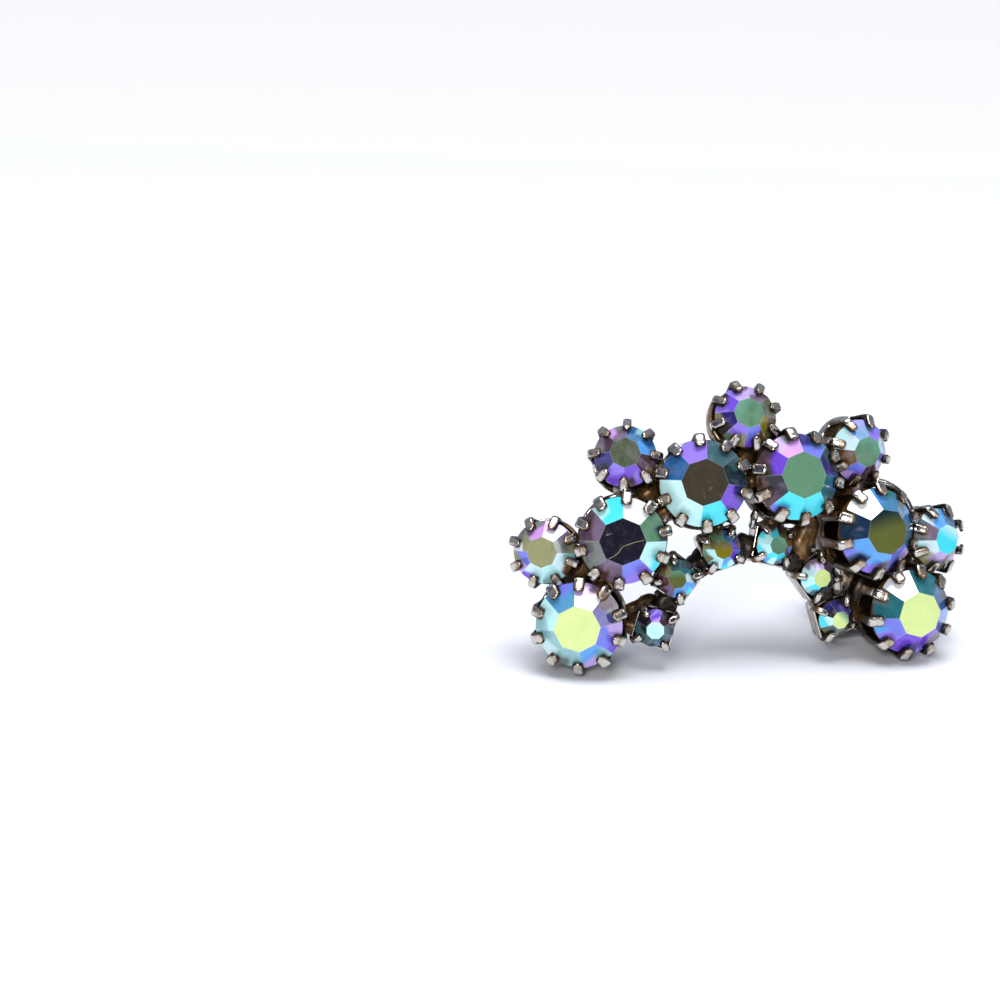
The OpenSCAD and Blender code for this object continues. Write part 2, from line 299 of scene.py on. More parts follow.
def behind(row, size, depth, aside=(0, 0)):
    """A point of the upright arch at a depth behind a setting's girdle, in millimetres."""
    return arch_seat(row, size) @ (Vector((*aside, -depth)) * MM) / MM


def crown_top(size):
    """Height of the table over the girdle's middle."""
    return (size.girdle - size.table) / 2 * tan(CROWN_SLOPE) + size.girdle * GIRDLE_SHARE


def hold_radius(size):
    """The inside of a setting, clear of the stone's girdle."""
    return size.girdle / 2 + STONE_GAP


def crown_drop():
    """How steeply the edges between the crown's facets fall."""
    return tan(CROWN_SLOPE) * cos(HALF_FACET)


def crown_height(size, radius):
    """Height of the edges between the crown's facets at a distance from the axis."""
    return crown_top(size) - (radius - size.table / 2 / cos(HALF_FACET)) * crown_drop()


# Meshes

class Shape:
    """Points and faces that grow piece by piece. Rub, mostly 0 to 1, is how bright the metal is: wear
    with painted shade and painted highlights.
    """

    def __init__(self):
        self.points, self.faces, self.wear_and_shading_values = [], [], []

    def add(self, points, faces, wear_and_shading_values=None):
        start = len(self.points)
        self.points.extend(points)
        self.faces.extend([tuple(i + start for i in face) for face in faces])
        self.wear_and_shading_values.extend(wear_and_shading_values or [0.5] * len(points))

    def tube(self, rings, wear_and_shading_values=None, closed_ends=True):
        """A skin over rings that all have the same number of points."""
        count = len(rings[0])
        faces = ring_faces(count, range(len(rings)))
        if closed_ends:
            faces.append(tuple(reversed(range(count))))
            faces.append(tuple(range((len(rings) - 1) * count, len(rings) * count)))
        self.add([p for ring in rings for p in ring], faces, wear_and_shading_values)

    def turned_body(self, rings, ring_wear_and_shading):
        """A skin over rings that come back to the first one, as on a turned cup."""
        count = len(rings[0])
        faces = ring_faces(count, [*range(len(rings)), 0])
        wear_and_shading_values = [rub for rub in ring_wear_and_shading for i in range(count)]
        self.add([p for ring in rings for p in ring], faces, wear_and_shading_values)


def ring_faces(count, order):
    """Faces from each ring to the next one in an order of rings."""
    faces = []
    for r, s in zip(order, order[1:]):
        for i in range(count):
            j = (i + 1) % count
            faces.append((r * count + i, r * count + j, s * count + j, s * count + i))
    return faces


def grid_faces(rows, columns):
    """Faces over a grid of points."""
    faces = []
    for i in range(rows):
        for j in range(columns):
            a = i * (columns + 1) + j
            faces.append((a, a + columns + 1, a + columns + 2, a + 1))
    return faces


def add_object(name, data):
    made = bpy.data.objects.new(name, data)
    bpy.context.scene.collection.objects.link(made)
    return made


def add_piece(name, shape, matrix, material, smooth_faces=True):
    """A piece in the frame, from a shape in its own millimetres."""
    mesh = bpy.data.meshes.new(name)
    mesh.from_pydata([matrix @ (Vector(p) * MM) for p in shape.points], [], shape.faces)
    mesh.update()
    mesh.polygons.foreach_set("use_smooth", [smooth_faces] * len(mesh.polygons))
    mesh.materials.append(material)
    add_values(mesh, "rub", shape.wear_and_shading_values)
    return add_object(name, mesh)


def add_values(mesh, name, values):
    layer = mesh.attributes.new(name, "FLOAT", "POINT")
    layer.data.foreach_set("value", values)


# Stones

# Steps of a stone's mesh: across a facet, down a crown facet, and from the table's middle to its edge
ACROSS, DOWN, TABLE_RINGS = 20, 16, 11

# Rings down the back from the girdle, and steps from its edge to its point: the last is short
BACK_RINGS, BACK_STEPS = 6, 4.2
SIDES = FACETS * ACROSS

# Clouds of the coating: how many to a millimetre, the fine ones' share, the most that they cover
BROAD_CLOUDS, FINE_CLOUDS, FINE_SHARE, MOST_CLOUD = 1.5, 4, 0.6, 0.5
PALE_CLOUD, DARK_CLOUD = linear((0.6, 0.56, 0.62)), linear((0.16, 0.13, 0.2))

# Rounding of a prong's sides and tip, as the dirt and painted shade round them show it
SIDE_ROUND, TIP_ROUND = 0.1, 0.08


def facet_colour(tones, along, aside):
    """along goes from the table to the girdle, aside from -1 to 1 across the facet."""
    inner, near, far = tones
    rim = blend(near, far, smooth(aside, -0.12, 0.22))
    return blend(inner, rim, smooth(along + 0.22 * aside, 0.38, 0.64))


def mottled(tone, x, y, seed, strength):
    """The coating's unevenness: a pale or a dark cloud, faint where the colour is bright."""
    broad = noise.noise(Vector((x * BROAD_CLOUDS, y * BROAD_CLOUDS, seed)))
    fine = noise.noise(Vector((x * FINE_CLOUDS, y * FINE_CLOUDS, seed)))
    wave = broad + FINE_SHARE * fine
    cloud = PALE_CLOUD if wave > 0 else DARK_CLOUD
    return blend(tone, cloud, min(MOST_CLOUD, strength * abs(wave) * (1.05 - max(tone))))


def from_prong(size, row, angle, radius):
    """Millimetres from the nearest prong's tip to a place on the crown, 1 at most."""
    if hasattr(size, "prongs"):
        count, first, reach = size.prongs, radians(90 + row.prong_turn), PRONG_REACH
    else:
        count, first, reach = 4, radians(45 - row.angle + row.prong_turn), size.reach
    step = 2 * pi / count
    off = (angle - first + step / 2) % step - step / 2
    tip = hold_radius(size) - reach
    aside = max(0, abs(radius * sin(off)) - size.width * 0.5 + SIDE_ROUND)
    inward = max(0, tip + TIP_ROUND - radius * cos(off))
    return min(1, hypot(aside, inward))


class Stone(Shape):
    """A cut stone. Its paint is each point's colour and distances to a facet's border and to a prong."""

    def __init__(self, size, row, chart):
        super().__init__()
        centre, edge, edge_angle, facets = chart
        self.size, self.row = size, row
        self.half, self.half_table = size.girdle / 2, size.table / 2
        self.top, self.roll = crown_top(size), radians(row.facet_turn)
        self.centre, self.edge, self.edge_way = tone_of(centre), tone_of(edge), radians(edge_angle)
        self.facets = [[tone_of(name) for name in names.split()] for names in facets.split(",")]
        self.paint = []

    def off_middle(self, angle):
        """The angle from the middle of the nearest facet."""
        return (angle - self.roll + HALF_FACET) % (2 * HALF_FACET) - HALF_FACET

    def crown_z(self, radius, off):
        return self.top - (radius * cos(off) - self.half_table) * tan(CROWN_SLOPE)

    def add_table(self):
        points = [(0, 0, self.top)]
        self.paint.append((self.centre, self.half_table, 1))
        for r in range(1, TABLE_RINGS + 1):
            for s in range(SIDES):
                angle = self.roll + HALF_FACET + 2 * pi * s / SIDES
                radius = self.half_table / cos(self.off_middle(angle)) * r / TABLE_RINGS
                x, y = polar(radius, angle)
                points.append((x, y, self.top))
                toward = (x * cos(self.edge_way) + y * sin(self.edge_way)) / self.half_table
                tone = blend(self.centre, self.edge, smooth(toward, -0.1, 1.0))
                tone = mottled(tone, x, y, self.row.angle + FACETS, self.size.haze)
                self.paint.append((tone, self.half_table * (1 - r / TABLE_RINGS), 1))
        fan = [(0, 1 + s, 1 + (s + 1) % SIDES) for s in range(SIDES)]
        bands = [(a + 1, d + 1, c + 1, b + 1) for a, b, c, d in ring_faces(SIDES, range(TABLE_RINGS))]
        self.add(points, fan + bands)

    def add_facet(self, number, tones):
        """One facet of the crown, from the table down to the girdle."""
        size, row = self.size, self.row
        middle = self.roll + number * 2 * HALF_FACET
        slant = (self.half - self.half_table) / cos(CROWN_SLOPE)
        points = []
        for i in range(DOWN + 1):
            for j in range(ACROSS + 1):
                along = i / DOWN
                aside = 2 * j / ACROSS - 1
                off = aside * HALF_FACET
                inner = self.half_table / cos(off)
                radius = inner + (self.half - inner) * along
                x, y = polar(radius, middle + off)
                points.append((x, y, self.crown_z(radius, off)))
                tone = facet_colour(tones, along, aside)
                tone = mottled(tone, x, y, row.angle + number, size.mottle)
                border = min(along * slant, radius * (HALF_FACET - abs(off)))
                # distance to a prong tip or to the girdle: dirt and painted shade darken the crown near
                # both
                shaded = min(from_prong(size, row, middle + off, radius), slant * (1 - along) + 0.1)
                self.paint.append((tone, border, shaded))
        self.add(points, grid_faces(DOWN, ACROSS))

    def add_back(self):
        """The girdle and the foiled pavilion down to its point."""
        belt = self.size.girdle * GIRDLE_SHARE
        foot = self.half * tan(PAVILION_SLOPE) + belt
        rings = []
        for level in range(BACK_RINGS):
            ring = []
            for s in range(SIDES):
                angle = self.roll - HALF_FACET + 2 * pi * s / SIDES
                off = self.off_middle(angle)
                if level == 0:
                    radius, z = self.half, self.crown_z(self.half, off)
                else:
                    radius = self.half * (1 - (level - 1) / BACK_STEPS)
                    lower = -belt - self.half * (1 - cos(off)) * tan(PAVILION_SLOPE)
                    z = lower - (self.half - radius) * cos(off) * tan(PAVILION_SLOPE)
                ring.append((*polar(radius, angle), max(z, -foot)))
            rings.append(ring[::-1])
        self.tube(rings, closed_ends=False)
        self.add([(0, 0, -foot)], [])
        tip = len(self.points) - 1
        last = tip - SIDES
        self.faces.extend([(last + s, last + (s + 1) % SIDES, tip) for s in range(SIDES)])
        self.paint.extend([(tone_of("bronze"), 1, 0.3)] * (len(self.points) - len(self.paint)))

    def add_mark(self, mark):
        """A thin thread let into the table."""
        up = Vector((0, 0, MARK_HALF_DEPTH))
        path = mark.path
        rings = []
        for n, (x, y) in enumerate(path):
            (x0, y0), (x1, y1) = path[max(n - 1, 0)], path[min(n + 1, len(path) - 1)]
            side = Vector((y0 - y1, x1 - x0, 0)).normalized() * mark.half_width
            middle = Vector((x, y, self.top))
            rings.append([middle - side - up, middle + side - up, middle + side + up, middle - side + up])
        self.tube(rings)
        self.paint.extend([(tone_of(mark.colour), 1, 1)] * 4 * len(path))


def add_stone(name, size, row, chart, glass):
    stone = Stone(size, row, chart)
    stone.add_table()
    for number, tones in enumerate(stone.facets):
        stone.add_facet(number, tones)
    stone.add_back()
    for mark in MARKS:
        if mark.stone == name:
            stone.add_mark(mark)
    piece = add_piece(name, stone, seat(row, size), glass, False)
    tones, borders, prongs = zip(*stone.paint)
    colours = piece.data.color_attributes.new("facet", "FLOAT_COLOR", "POINT")
    colours.data.foreach_set("color", [c for tone in tones for c in (*tone, 1)])
    add_values(piece.data, "border", borders)
    add_values(piece.data, "prong", prongs)
    return piece


# Settings

# A flat strip: points round it, powers that square it, painted shade on its edges, swelling of its
# knuckle
STRIP_SIDES, SQUARE_ACROSS, SQUARE_OUT = 12, 0.55, 0.7
EDGE_DARK, KNUCKLE_LENGTH, KNUCKLE_SWELL = 1.1, 0.3, 0.35

# A round cup's prong: steps up from the band, round the fold and over the crown, place of the knuckle,
# height over the crown, and depth of the fold's centre
RISE_STEPS, FOLD_STEPS, TIP_STEPS = 7, 6, 8
KNUCKLE = RISE_STEPS + FOLD_STEPS // 2
CROWN_CLEAR, FOLD_DEPTH = 0.1, 0.12

# Bands: points between two prongs, radius of the floor's middle, rise of the rim towards a prong
BAND_STEPS, FLOOR_MIDDLE, RIM_RISE = 12, 0.02, 0.3

# Unlike prongs: seed of a kind's first cup, lift of a tip, and how much angle, width and lift change
FIRST_SEED, TIP_LIFT = 5, 0.03
ANGLE_WOBBLE, WIDTH_WOBBLE, LIFT_WOBBLE = 0.035, 0.1, 0.02

# Collars: steps along one, its height and its noise
COLLAR_STEPS, COLLAR_HEIGHT, COLLAR_NOISE = 18, 1.25, 0.12

# Square cups: steps along a side, sharpness of the corners, thickness and steps of a prong
SIDE_STEPS, CORNER_POWER, CORNER_PRONG, CORNER_STEPS = 10, 16, 0.32, 5

# Solder: points round and along a lump, how far it runs past its ends, and how lumpy it is
LUMP_AROUND, LUMP_ALONG, LUMP_REACH, LUMP_NOISE = 20, 14, 0.6, 0.45


def strip_ring(centre, along, side, width, thick):
    """One ring of a flat strip with round edges."""
    out = side.cross(along).normalized()
    ring = []
    for i in range(STRIP_SIDES):
        a = 2 * pi * (i + 0.5) / STRIP_SIDES
        c, s = cos(a), sin(a)
        c = copysign(abs(c) ** SQUARE_ACROSS, c)
        s = copysign(abs(s) ** SQUARE_OUT, s)
        ring.append(tuple(centre + side * (c * width / 2) + out * (s * thick / 2)))
    return ring


def knuckle_form(past):
    """Swelling and rub of a prong at a distance past its knuckle, which is negative below it: wear and a
    painted highlight at the knuckle, painted shade on the neck below.
    """
    near = exp(-(past / KNUCKLE_LENGTH) ** 2)
    rub = 0.05 + 0.95 * near if past < 0 else 0.4 + 0.56 * near
    return 1 + KNUCKLE_SWELL * near, rub


def bent_strip(shape, path, side, width, thick, round_end, knuckle=None, foot_width=1.0):
    """A strip along a path, thick at its knuckle with wear and a painted highlight there, with painted
    shade on its edges and a round end.
    """
    lengths = [0]
    for a, b in zip(path, path[1:]):
        lengths.append(lengths[-1] + (b - a).length)
    total = lengths[-1]
    rings, wear_and_shading_values = [], []
    for i, centre in enumerate(path):
        ahead = path[min(i + 1, len(path) - 1)] - path[max(i - 1, 0)]
        left = total - lengths[i]
        fade = 1 if left > round_end else sqrt(max(0.0, 1 - (1 - left / round_end) ** 2))
        swell, rub = 1, 0.8
        if knuckle is not None:
            swell, rub = knuckle_form(lengths[i] - lengths[knuckle])
        foot = 1 + (foot_width - 1) * (1 - smooth(lengths[i], 0, total * 0.35))
        wide, deep = width * foot * max(fade, 0.06), thick * swell * max(fade ** 0.6, 0.12)
        rings.append(strip_ring(centre, ahead.normalized(), side, wide, deep))
        for j in range(STRIP_SIDES):
            edge = smooth(abs(cos(2 * pi * (j + 0.5) / STRIP_SIDES)), 0.6, 1)
            # painted shade along the strip's edges
            wear_and_shading_values.append(rub * (1 - edge) - EDGE_DARK * edge)
    shape.tube(rings, wear_and_shading_values)


def prong_path(size, start_z, rise):
    """Centre line of a round cup's prong, as distances from the axis and heights."""
    hold = hold_radius(size)
    lean = atan(crown_drop())
    foot, knuckle = hold - CUP_TAPER + WALL / 2, hold + WALL / 2 + 0.5 * PRONG_KNOB
    pivot = (hold - FOLD_DEPTH, crown_height(size, hold) + CROWN_CLEAR - FOLD_DEPTH)
    path = []
    for i in range(RISE_STEPS + 1):
        share = i / RISE_STEPS
        r = foot + (knuckle - foot) * smooth(share, 0, 1)
        path.append((r, start_z + (pivot[1] - start_z) * share))
    path += arc(pivot, knuckle - pivot[0], 0, 90 - degrees(lean), FOLD_STEPS)[1:]
    end = path[-1]
    length = (end[0] - (hold - PRONG_REACH)) / cos(lean)
    for i in range(1, TIP_STEPS + 1):
        share = i / TIP_STEPS
        s = length * share
        path.append((end[0] - s * cos(lean), end[1] + s * sin(lean) + rise * share ** 2))
    return path


def add_band(shape, size, row):
    """The wall and floor of a round cup. The rim rises towards each prong."""
    low, rim, count = -size.depth, size.rim, size.prongs
    first = radians(90 + row.prong_turn)
    sides = count * BAND_STEPS
    closed = hold_radius(size) - CUP_TAPER
    # distance from the axis, height, rub, share of the rise; the low rub inside the cup is painted shade
    outline = [
        (FLOOR_MIDDLE, low, 0.3, 0),
        (closed - WALL - 0.15, low, 0.3, 0),
        (closed - WALL + 0.05, low + 0.08, 0.4, 0),
        (closed + WALL - 0.06, low + 0.36 * rim, 0.5, 0),
        (closed + WALL, low + 0.5 * rim, 0.5, 0),
        (closed + WALL, low + rim - 0.12, 0.5, 1),
        (closed + WALL - 0.05, low + rim, 0.6, 1),
        (closed + WALL / 2, low + rim + 0.04, 0.5, 1),
        (closed + 0.05, low + rim, 0.2, 1),
        (closed, low + rim - 0.12, 0, 1),
        (closed, low + 0.6 * rim, 0, 0),
        (closed - 1.5 * WALL, low + WALL, 0, 0),
        (FLOOR_MIDDLE, low + WALL, 0, 0),
    ]
    rings = []
    for radius, z, rub, share in outline:
        ring = []
        for s in range(sides):
            angle = first + 2 * pi * s / sides
            swell = 0.5 + 0.5 * cos(count * (angle - first))
            ring.append((*polar(radius, angle), z + share * RIM_RISE * swell ** 2))
        rings.append(ring)
    shape.turned_body(rings, [rub for radius, z, rub, share in outline])


def darken_inward(shape, row):
    """Painted shade: less rub on the side of a cup that faces the inside of the arch, among the other
    cups.
    """
    outward = radians(90 - row.angle)
    for n, (x, y, z) in enumerate(shape.points):
        facing = cos(atan2(y, x) - outward)
        shape.wear_and_shading_values[n] -= 0.65 * (1 - smooth(facing, -0.6, 0.4))


def add_round_cup(name, size, row, metal, seed):
    shape = Shape()
    add_band(shape, size, row)
    darken_inward(shape, row)
    count = size.prongs
    start_z = size.rim - size.depth - 0.25
    for i in range(count):
        wobble = noise.noise(Vector((seed * 3.1, i * 1.7, 0.3)))
        angle = radians(90 + row.prong_turn) + 2 * pi * i / count + ANGLE_WOBBLE * wobble
        out, side = spoke(angle)
        plan = prong_path(size, start_z, TIP_LIFT + LIFT_WOBBLE * wobble)
        path = [out * r + Vector((0, 0, z)) for r, z in plan]
        width = size.width * (1 + WIDTH_WOBBLE * wobble)
        bent_strip(shape, path, side, width, WALL, 0.3, KNUCKLE, 1.2)
    return add_piece(name, shape, seat(row, size), metal)


def add_collar(name, size, row, collar, metal):
    """A stretch of a round cup's wall that stands up to the girdle."""
    shape = Shape()
    radius = hold_radius(size) + WALL / 2 + collar.outside
    thick = WALL + 0.7 * collar.outside
    rings = []
    for i in range(COLLAR_STEPS + 1):
        share = i / COLLAR_STEPS
        out, side = spoke(radians(collar.first + (collar.last - collar.first) * share))
        height = COLLAR_HEIGHT * (0.25 + 0.75 * sin(pi * share) ** 0.5)
        height += COLLAR_NOISE * noise.noise(out * 5)
        middle = out * radius + Vector((0, 0, -0.12 - height / 2))
        rings.append(strip_ring(middle, side, Vector((0, 0, 1)), height, thick))
    shape.tube(rings, [collar.rub] * STRIP_SIDES * len(rings))
    return add_piece(name, shape, seat(row, size), metal)


def square_ring(half, z):
    """A square outline with round corners."""
    ring = []
    for q in range(4):
        for i in range(SIDE_STEPS):
            angle = radians(90 * q) + atan(-1 + 2 * i / SIDE_STEPS)
            c, s = abs(cos(angle)), abs(sin(angle))
            radius = half / (c ** CORNER_POWER + s ** CORNER_POWER) ** (1 / CORNER_POWER)
            ring.append((*polar(radius, angle), z))
    return ring


def corner_prong_path(size):
    """Centre line of a square cup's prong, up its corner and over the crown, and its knuckle's place."""
    hold = hold_radius(size)
    fold = crown_height(size, hold) + 0.06
    corner = size.side / sqrt(2) - 0.27
    bend = (hold + 0.02, fold + 0.2)
    path = [(corner - 0.12, -0.75), (corner - 0.02, -0.4), (corner, -0.12), (corner - 0.02, 0.1),
            (corner - 0.1, fold + 0.08), bend]
    knuckle = len(path) - 1
    tip = hold - size.reach
    for n in range(1, CORNER_STEPS + 1):
        r = bend[0] + (tip - bend[0]) * n / CORNER_STEPS
        path.append((r, bend[1] + (hold - r) * crown_drop() * 0.8))
    return path, knuckle


def add_square_cup(name, size, row, metal):
    shape = Shape()
    low, high = -size.depth, -size.drop
    foot, rim, wall = size.foot / 2, size.side / 2, size.wall
    # distance of the sides from the axis, height, rub; the low rub at the foot and inside is painted
    # shade
    outline = [
        (FLOOR_MIDDLE, low, 0.1),
        (foot - 0.12, low, 0.1),
        (foot, low + 0.12, 0.3),
        (foot + (rim - foot) * 0.55, low + 0.8, 0.45),
        (rim, high - 0.06, 0.85),
        (rim - 0.03, high, 0.9),
        (rim - wall + 0.03, high, 0.8),
        (rim - wall, high - 0.06, 0.3),
        (foot - wall, low + wall + 0.1, 0),
        (foot - wall - 0.15, low + wall, 0),
        (FLOOR_MIDDLE, low + wall, 0),
    ]
    rings = [square_ring(half, z) for half, z, rub in outline]
    shape.turned_body(rings, [rub for half, z, rub in outline])
    plan, knuckle = corner_prong_path(size)
    for i in range(4):
        out, side = spoke(radians(45 + 90 * i))
        path = [out * r + Vector((0, 0, z)) for r, z in plan]
        bent_strip(shape, path, side, size.width, CORNER_PRONG, 0.26, knuckle)
    matrix = seat(row, size) @ turned(-row.angle + row.prong_turn, "Z")
    return add_piece(name, shape, matrix, metal)


def add_solder(name, spots, metal):
    """Lumps of solder, each from one point of the arch to another: (from, to, radius, rub)."""
    shape = Shape()
    for n, (start, end, radius, rub) in enumerate(spots):
        length = (end - start).length
        ahead = (end - start).normalized()
        side = ahead.cross(Vector((0.3, 0.2, 0.93))).normalized()
        up = side.cross(ahead)
        rings = []
        for i in range(LUMP_ALONG + 1):
            t = pi * i / LUMP_ALONG
            reach = length / 2 * (1 - cos(t)) - radius * LUMP_REACH * cos(t)
            wide = radius * max(0.05, sin(t)) ** 0.6
            ring = []
            for j in range(LUMP_AROUND):
                a = 2 * pi * j / LUMP_AROUND
                way = side * cos(a) + up * sin(a)
                spot = start + ahead * reach + way * wide
                lumps = noise.noise(spot * 1.1 + Vector((n, 0, 0))) + 0.5 * noise.noise(spot * 2.6)
                ring.append(tuple(spot + way * wide * LUMP_NOISE * lumps))
            rings.append(ring)
        shape.tube(rings, [rub] * LUMP_AROUND * len(rings))
    return add_piece(name, shape, standing(), metal)


# Clip

CLIP_RUB = 0.75

# The pad: its outline from front to back, as distances inside its edge and heights over its middle,
# then points round it and the radius at its faces' middle
PAD_EDGE = [(0.8, 0.36), (0.5, 0.4), (0.15, 0.39), (0.02, 0.25), (0, 0),
            (0.02, -0.25), (0.15, -0.39), (0.5, -0.4), (0.8, -0.36)]
PAD_SIDES, PAD_MIDDLE = 64, 0.05

# Points round the pin and the lever's eye
PIN_SIDES, EYE_SIDES = 24, 48


def plate_seat():
    return (standing() @ Matrix.Translation(Vector(PLATE.at) * MM) @ turned(PLATE.turn, "Z")
            @ turned(-PLATE.nod, "X") @ turned(90, "X"))


def slab(shape, outline, low, high, bevel, frame_of):
    """A plate with rounded edges over an outline that runs counter-clockwise."""
    count = len(outline)
    rings = []
    for inset, z in ((bevel, low), (0.3 * bevel, low + 0.3 * bevel), (0, low + bevel),
                     (0, high - bevel), (0.3 * bevel, high - 0.3 * bevel), (bevel, high)):
        ring = []
        for i in range(count):
            before, here, after = (Vector(outline[(i + s) % count]) for s in (-1, 0, 1))
            way = (after - before).normalized()
            ring.append(tuple(frame_of(here.x - way.y * inset, here.y + way.x * inset, z)))
        rings.append(ring)
    shape.tube(rings, [CLIP_RUB] * count * len(rings))


def rounded_box(w, h, r):
    corners = ((w / 2 - r, -h / 2 + r, -90), (w / 2 - r, h / 2 - r, 0),
               (-w / 2 + r, h / 2 - r, 90), (-w / 2 + r, -h / 2 + r, 180))
    return [p for x, y, a in corners for p in arc((x, y), r, a, a + 90, 6)]


def side_view(depth, height, across):
    """From distance behind the plate's face, height and place across to the plate's frame."""
    return (across, height, -depth)


def pin_place():
    return (PLATE.t + PIN.back, PIN.y)


def about_pin(outline, sides):
    """Rings about the pin, from radii and places across."""
    return [[side_view(x, y, across) for x, y in circle(pin_place(), radius, sides)]
            for radius, across in outline]


def add_ears(shape):
    """An ear behind the plate at each side of the lever."""
    half_plate = PLATE.t / 2
    outline = arc(pin_place(), PIN.ear_r, -90, 90, 16)
    outline += [(half_plate, PIN.y + PIN.ear_r), (half_plate, PIN.y - PIN.ear_r)]
    for way in (-1, 1):
        middle = way * (LEVER.w / 2 + PIN.ear_gap + PIN.ear_t / 2)
        slab(shape, outline, middle - PIN.ear_t / 2, middle + PIN.ear_t / 2, 0.1, side_view)


def add_pin(shape):
    half = LEVER.w / 2 + PIN.ear_gap + PIN.ear_t
    outside, tip, straight = PIN.r, 0.7 * PIN.r, half - 0.1
    rings = about_pin([(tip, -half), (outside, -straight), (outside, straight), (tip, half)], PIN_SIDES)
    shape.tube(rings, [CLIP_RUB] * PIN_SIDES * len(rings))


def add_plate(name, metal):
    shape = Shape()
    outline = rounded_box(PLATE.w, PLATE.h, PLATE.corner)
    slab(shape, outline, -PLATE.t, 0.1, 0.12, lambda x, y, z: (x, y, z))
    add_ears(shape)
    add_pin(shape)
    return add_piece(name, shape, plate_seat(), metal)


def lever_line():
    """The lever from its pin round its heel and up its belly, in the side view."""
    belly = PLATE.t + LEVER.gap + LEVER.t / 2
    heel = (belly - LEVER.heel_r, PIN.y - PIN.eye_r + LEVER.t / 2 + LEVER.heel_r)
    top = (belly - LEVER.top_r, LEVER.belly_top)
    line = arc(heel, LEVER.heel_r, -90, 0, 12) + arc(top, LEVER.top_r, 0, LEVER.sweep, 16)
    return [(pin_place()[0], line[0][1])] + line


def add_eye(shape):
    """The lever's eye, which is clear of its pin."""
    outside, half = PIN.eye_r, PIN.eye_w / 2
    face, straight = outside - 0.1, half - 0.09
    hole = PIN.r + PIN.eye_play
    outline = [(outside, -straight), (outside, straight), (face, half),
               (hole, half), (hole, -half), (face, -half)]
    rings = about_pin(outline, EYE_SIDES)
    shape.turned_body(rings, [CLIP_RUB] * len(rings))


def add_pad(shape, middle):
    """The round pad at the lever's end, across the lever's last direction."""
    sweep = radians(LEVER.sweep)
    right = Vector((1, 0, 0))
    face = Vector(side_view(cos(sweep), sin(sweep), 0))
    along = right.cross(face)
    outline = [(LEVER.pad / 2 - inside, height) for inside, height in PAD_EDGE]
    outline = [(PAD_MIDDLE, outline[0][1])] + outline + [(PAD_MIDDLE, outline[-1][1])]
    rings = []
    for radius, height in outline:
        ring = []
        for x, y in circle((0, 0), radius, PAD_SIDES):
            ring.append(tuple(middle + right * x + along * y + face * height))
        rings.append(ring)
    shape.tube(rings, [CLIP_RUB] * PAD_SIDES * len(rings))


def add_lever(name, metal):
    shape = Shape()
    path = [Vector(side_view(x, y, 0)) for x, y in lever_line()]
    bent_strip(shape, path, Vector((1, 0, 0)), LEVER.w, LEVER.t * 0.99, 0.5)
    add_eye(shape)
    add_pad(shape, path[-1])
    return add_piece(name, shape, plate_seat(), metal)


# Materials

# Colours as seen, scales of the noises in waves a millimetre, and the shaders' own values
GLASS_COLOURS = {"cloud": (0.75, 0.75, 0.8), "speck": (0.45, 0.42, 0.36), "border_tone": (0.85, 0.9, 0.92),
                 "dirt_and_shade": (0.09, 0.11, 0.11)}
GLASS_NOISE = {"clouds": 0.9, "specks": 9, "dirt_and_shade": 3.5, "gloss": 2.5}
GLASS_VALUES = {"Metallic": 0.12, "Specular IOR Level": 0.25, "Coat Weight": 0.4,
                "Coat Roughness": 0.03, "Coat IOR": 1.6}
METAL_COLOURS = {"silver": (0.78, 0.76, 0.73), "bronze": (0.5, 0.37, 0.21), "dirt_and_shade": (0.075, 0.055, 0.04)}
METAL_NOISE = {"patches": 0.9, "fine": 4, "bumps": 2.6}
METAL_BUMPS = {"Strength": 0.4, "Distance": 0.04 * MM}
FLOOR_VALUES = {"Roughness": 0.6, "Specular IOR Level": 0.2}


def new_material(name):
    material = bpy.data.materials.new(name)
    material.use_nodes = True
    tree = material.node_tree
    tree.nodes.clear()
    output = tree.nodes.new("ShaderNodeOutputMaterial")
    shader = tree.nodes.new("ShaderNodeBsdfPrincipled")
    give(output.inputs["Surface"], shader.outputs["BSDF"])
    return material, tree, shader


def give(socket, value):
    """A number, a colour or another node's output, into a socket."""
    if isinstance(value, bpy.types.NodeSocket):
        socket.id_data.links.new(value, socket)
    elif isinstance(value, (tuple, list)):
        socket.default_value = (*value, 1)
    else:
        socket.default_value = value


def give_all(node, values):
    for name, value in values.items():
        give(node.inputs[name], value)


def object_noise(tree, scale, detail=4, roughness=0.55):
    """Noise over an object's own place."""
    place = tree.nodes.new("ShaderNodeTexCoord").outputs["Object"]
    made = tree.nodes.new("ShaderNodeTexNoise")
    give_all(made, {"Vector": place, "Scale": scale / MM, "Detail": detail, "Roughness": roughness})
    return made.outputs["Fac"]


def math_node(operation, a, b):
    made = a.id_data.nodes.new("ShaderNodeMath")
    made.operation = operation
    give_all(made, {0: a, 1: b})
    return made.outputs[0]


def times(a, b):
    return math_node("MULTIPLY", a, b)


def plus(a, b):
    return math_node("ADD", a, b)


def swing(value, strength):
    """A noise made to swing about zero."""
    return times(math_node("SUBTRACT", value, 0.5), strength)


def spread(value, low, high, to_low=0.0, to_high=1.0):
    made = value.id_data.nodes.new("ShaderNodeMapRange")
    made.interpolation_type = "SMOOTHSTEP"
    give_all(made, {"Value": value, "From Min": low, "From Max": high,
                    "To Min": to_low, "To Max": to_high})
    return made.outputs["Result"]


def mix(share, a, b, mode="MIX"):
    made = share.id_data.nodes.new("ShaderNodeMix")
    made.data_type = "RGBA"
    made.blend_type = mode
    sockets = [s for s in made.inputs if s.enabled]
    for socket, value in zip(sockets, (share, a, b)):
        give(socket, value)
    return [s for s in made.outputs if s.enabled][0]


def attribute(tree, name):
    made = tree.nodes.new("ShaderNodeAttribute")
    made.attribute_name = name
    return made.outputs["Fac"]


